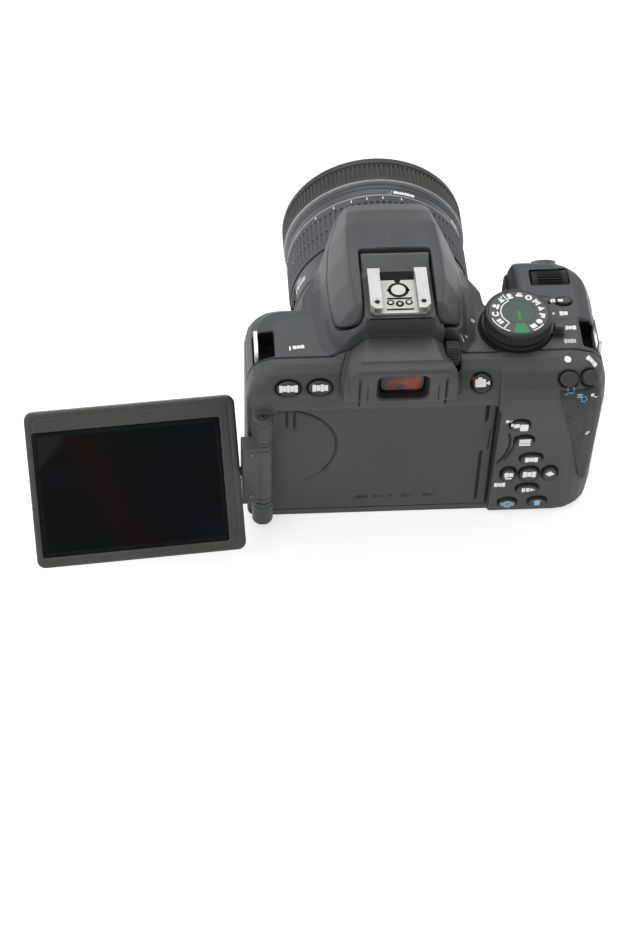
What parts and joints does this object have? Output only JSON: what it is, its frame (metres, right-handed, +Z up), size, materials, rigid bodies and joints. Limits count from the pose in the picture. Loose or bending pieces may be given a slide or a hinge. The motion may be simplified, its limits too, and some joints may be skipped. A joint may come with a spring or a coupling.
{
  "type": "dslr camera",
  "caption": "Single-lens reflex camera with side-hinged tilting screen, zoom lens, pop-up flash, mode dial, command dial, hinged doors and pressable buttons.",
  "frame": {"origin": "on the flat base, in the vertical plane of the lens axis, 11 mm behind the tripod socket's axis; the tripod_base mount is that point", "axes": "+X to the right as the user stands behind the camera (the opened screen is towards -X), +Y forwards along the lens axis, +Z up"},
  "size_m": [0.2135, 0.1499, 0.0989],
  "materials": {
    "body_plastic": "fine-textured charcoal moulding",
    "grip_rubber": "black leather-grained rubber skin",
    "shoe_steel": "bright stamped steel",
    "mount_chrome": "machined and chromed",
    "screw_steel": "turned steel insert",
    "inner_plastic": "matt black, light-absorbing",
    "mirror_silver": "front-silvered",
    "optical_glass": "coated optical glass",
    "sensor_plastic": "filter glass over a packaged sensor",
    "board_plastic": "green lacquered circuit board",
    "battery_plastic": "grey moulded case",
    "card_plastic": "blue moulded case",
    "dial_plastic": "satin black moulding with knurled rim",
    "key_plastic": "satin black keys",
    "lens_plastic": "fine-textured black moulding",
    "ring_rubber": "ribbed black rubber",
    "screen_plastic": "satin black moulding",
    "screen_glass": "glossy black display window"
  },
  "bodies": {
    "camera_body": {"bottom_cover": "body_plastic", "rear_cover": "body_plastic", "front_cover": "body_plastic", "top_cover": "body_plastic", "grip_rubber": "grip_rubber", "thumb_rubber": "grip_rubber", "mirror_box": "inner_plastic", "lens_mount_ring": "mount_chrome", "image_sensor": "sensor_plastic", "circuit_board": "board_plastic", "pentamirror": "mirror_silver", "focusing_screen": "optical_glass", "eyepiece_lens": "optical_glass", "eyecup": "grip_rubber", "hot_shoe": "shoe_steel", "strap_lug_left": "shoe_steel", "strap_lug_right": "shoe_steel", "battery": "battery_plastic", "memory_card": "card_plastic", "tripod_socket": "screw_steel", "shutter_unit": "inner_plastic", "lens_barrel": "lens_plastic"},
    "lcd_hinge": {"lcd_hinge_block": "screen_plastic"},
    "lcd_screen": {"lcd_frame": "screen_plastic", "lcd_glass": "screen_glass"},
    "mode_dial": {"mode_dial": "dial_plastic"},
    "power_lever": {"power_lever": "dial_plastic"},
    "main_dial": {"main_dial": "dial_plastic"},
    "dioptre_knob": {"dioptre_knob": "dial_plastic"},
    "flash": {"flash_unit": "body_plastic", "flash_window": "optical_glass"},
    "reflex_mirror": {"reflex_mirror": "mirror_silver"},
    "zoom_ring": {"zoom_ring": "ring_rubber"},
    "front_barrel": {"front_barrel": "lens_plastic", "front_glass": "optical_glass"},
    "focus_ring": {"focus_ring": "ring_rubber"},
    "af_switch": {"af_switch": "key_plastic"},
    "stabiliser_switch": {"stabiliser_switch": "key_plastic"},
    "battery_door": {"battery_door": "body_plastic"},
    "card_door": {"card_door": "body_plastic"},
    "terminal_cover": {"terminal_cover": "body_plastic"},
    "menu_button": {"menu_button": "key_plastic"},
    "info_button": {"info_button": "key_plastic"},
    "live_view_button": {"live_view_button": "key_plastic"},
    "av_button": {"av_button": "key_plastic"},
    "quick_button": {"quick_button": "key_plastic"},
    "key_up": {"key_up": "key_plastic"},
    "key_left": {"key_left": "key_plastic"},
    "set_button": {"set_button": "key_plastic"},
    "key_right": {"key_right": "key_plastic"},
    "key_down": {"key_down": "key_plastic"},
    "playback_button": {"playback_button": "key_plastic"},
    "erase_button": {"erase_button": "key_plastic"},
    "ae_lock_button": {"ae_lock_button": "key_plastic"},
    "af_point_button": {"af_point_button": "key_plastic"},
    "iso_button": {"iso_button": "key_plastic"},
    "display_button": {"display_button": "key_plastic"},
    "flash_button": {"flash_button": "key_plastic"},
    "lens_release": {"lens_release": "key_plastic"},
    "shutter_button": {"shutter_button": "shoe_steel"}
  },
  "joints": [
    {"name": "lcd_swing", "type": "hinge", "parent": "camera_body", "child": "lcd_hinge", "pos_m": [-0.0495, -0.012, 0.0316], "axis": [0, 0, 1], "range_deg": [0, 108]},
    {"name": "lcd_tilt", "type": "hinge", "parent": "lcd_hinge", "child": "lcd_screen", "pos_m": [-0.0495, -0.012, 0.0316], "axis": [-0.9965, -0.0837, 0], "range_deg": [-132, 138]},
    {"name": "mode_dial_turn", "type": "hinge", "parent": "camera_body", "child": "mode_dial", "pos_m": [0.0443, 0.0134, 0.0821], "axis": [0, 0, 1], "continuous": true},
    {"name": "power_lever_turn", "type": "hinge", "parent": "camera_body", "child": "power_lever", "pos_m": [0.0443, 0.0134, 0.078], "axis": [0, 0, 1], "range_deg": [-25, 25]},
    {"name": "main_dial_turn", "type": "hinge", "parent": "camera_body", "child": "main_dial", "pos_m": [0.0597, 0.039, 0.071], "axis": [1, 0, 0], "continuous": true},
    {"name": "dioptre_turn", "type": "hinge", "parent": "camera_body", "child": "dioptre_knob", "pos_m": [0.019, -0.0002, 0.0782], "axis": [1, 0, 0], "range_deg": [-120, 120]},
    {"name": "flash_popup", "type": "hinge", "parent": "camera_body", "child": "flash", "pos_m": [0, 0.012, 0.0906], "axis": [1, 0, 0], "range_deg": [0, 65]},
    {"name": "mirror_flip", "type": "hinge", "parent": "camera_body", "child": "reflex_mirror", "pos_m": [0, 0.0165, 0.0545], "axis": [1, 0, 0], "range_deg": [0, 45]},
    {"name": "zoom_turn", "type": "hinge", "parent": "camera_body", "child": "zoom_ring", "pos_m": [0, 0.0778, 0.0405], "axis": [0, 1, 0], "range_deg": [0, 65]},
    {"name": "zoom_extend", "type": "slide", "parent": "camera_body", "child": "front_barrel", "axis": [0, 1, 0], "range_m": [0, 0.014]},
    {"name": "focus_turn", "type": "hinge", "parent": "camera_body", "child": "focus_ring", "pos_m": [0, 0.1029, 0.0405], "axis": [0, 1, 0], "continuous": true},
    {"name": "af_switch_slide", "type": "slide", "parent": "camera_body", "child": "af_switch", "axis": [0, 0, 1], "range_m": [-0.0025, 0]},
    {"name": "stabiliser_switch_slide", "type": "slide", "parent": "camera_body", "child": "stabiliser_switch", "axis": [0, 0, 1], "range_m": [-0.0025, 0]},
    {"name": "battery_door_hinge", "type": "hinge", "parent": "camera_body", "child": "battery_door", "pos_m": [0.0704, 0.021, 0], "axis": [0, -1, 0], "range_deg": [0, 95]},
    {"name": "card_door_hinge", "type": "hinge", "parent": "camera_body", "child": "card_door", "pos_m": [0.0768, 0.016, 0.042], "axis": [0, 0, 1], "range_deg": [0, 100]},
    {"name": "terminal_cover_hinge", "type": "hinge", "parent": "camera_body", "child": "terminal_cover", "pos_m": [-0.0551, 0.0215, 0.029], "axis": [0, 0, -1], "range_deg": [0, 90]},
    {"name": "menu_button_press", "type": "slide", "parent": "camera_body", "child": "menu_button", "axis": [0, 0.8, -0.6], "range_m": [0, 0.0006]},
    {"name": "info_button_press", "type": "slide", "parent": "camera_body", "child": "info_button", "axis": [0, 0.8, -0.6], "range_m": [0, 0.0006]},
    {"name": "live_view_button_press", "type": "slide", "parent": "camera_body", "child": "live_view_button", "axis": [0, 0.8, -0.6], "range_m": [0, 0.0006]},
    {"name": "av_button_press", "type": "slide", "parent": "camera_body", "child": "av_button", "axis": [0, 1, 0], "range_m": [0, 0.0006]},
    {"name": "quick_button_press", "type": "slide", "parent": "camera_body", "child": "quick_button", "axis": [0, 1, 0], "range_m": [0, 0.0006]},
    {"name": "key_up_press", "type": "slide", "parent": "camera_body", "child": "key_up", "axis": [0, 1, 0], "range_m": [0, 0.0006]},
    {"name": "key_left_press", "type": "slide", "parent": "camera_body", "child": "key_left", "axis": [0, 1, 0], "range_m": [0, 0.0006]},
    {"name": "set_button_press", "type": "slide", "parent": "camera_body", "child": "set_button", "axis": [0, 1, 0], "range_m": [0, 0.0006]},
    {"name": "key_right_press", "type": "slide", "parent": "camera_body", "child": "key_right", "axis": [0, 1, 0], "range_m": [0, 0.0006]},
    {"name": "key_down_press", "type": "slide", "parent": "camera_body", "child": "key_down", "axis": [0, 1, 0], "range_m": [0, 0.0006]},
    {"name": "playback_button_press", "type": "slide", "parent": "camera_body", "child": "playback_button", "axis": [0, 1, 0], "range_m": [0, 0.0006]},
    {"name": "erase_button_press", "type": "slide", "parent": "camera_body", "child": "erase_button", "axis": [0, 1, 0], "range_m": [0, 0.0006]},
    {"name": "ae_lock_button_press", "type": "slide", "parent": "camera_body", "child": "ae_lock_button", "axis": [0, 0.7001, -0.7141], "range_m": [0, 0.0006]},
    {"name": "af_point_button_press", "type": "slide", "parent": "camera_body", "child": "af_point_button", "axis": [-0.3511, 0.6621, -0.6621], "range_m": [0, 0.0006]},
    {"name": "iso_button_press", "type": "slide", "parent": "camera_body", "child": "iso_button", "axis": [0, 0, -1], "range_m": [0, 0.0006]},
    {"name": "display_button_press", "type": "slide", "parent": "camera_body", "child": "display_button", "axis": [0, 0, -1], "range_m": [0, 0.0006]},
    {"name": "flash_button_press", "type": "slide", "parent": "camera_body", "child": "flash_button", "axis": [0, -1, 0], "range_m": [0, 0.0008]},
    {"name": "lens_release_press", "type": "slide", "parent": "camera_body", "child": "lens_release", "axis": [0, -1, 0], "range_m": [0, 0.002]},
    {"name": "shutter_button_press", "type": "slide", "parent": "camera_body", "child": "shutter_button", "axis": [0, -0.8682, -0.4961], "range_m": [0, 0.0008]}
  ],
  "couplings": [
    {"joint": "zoom_extend", "follows": "zoom_turn", "m_per_rad": 0.01234}
  ]
}
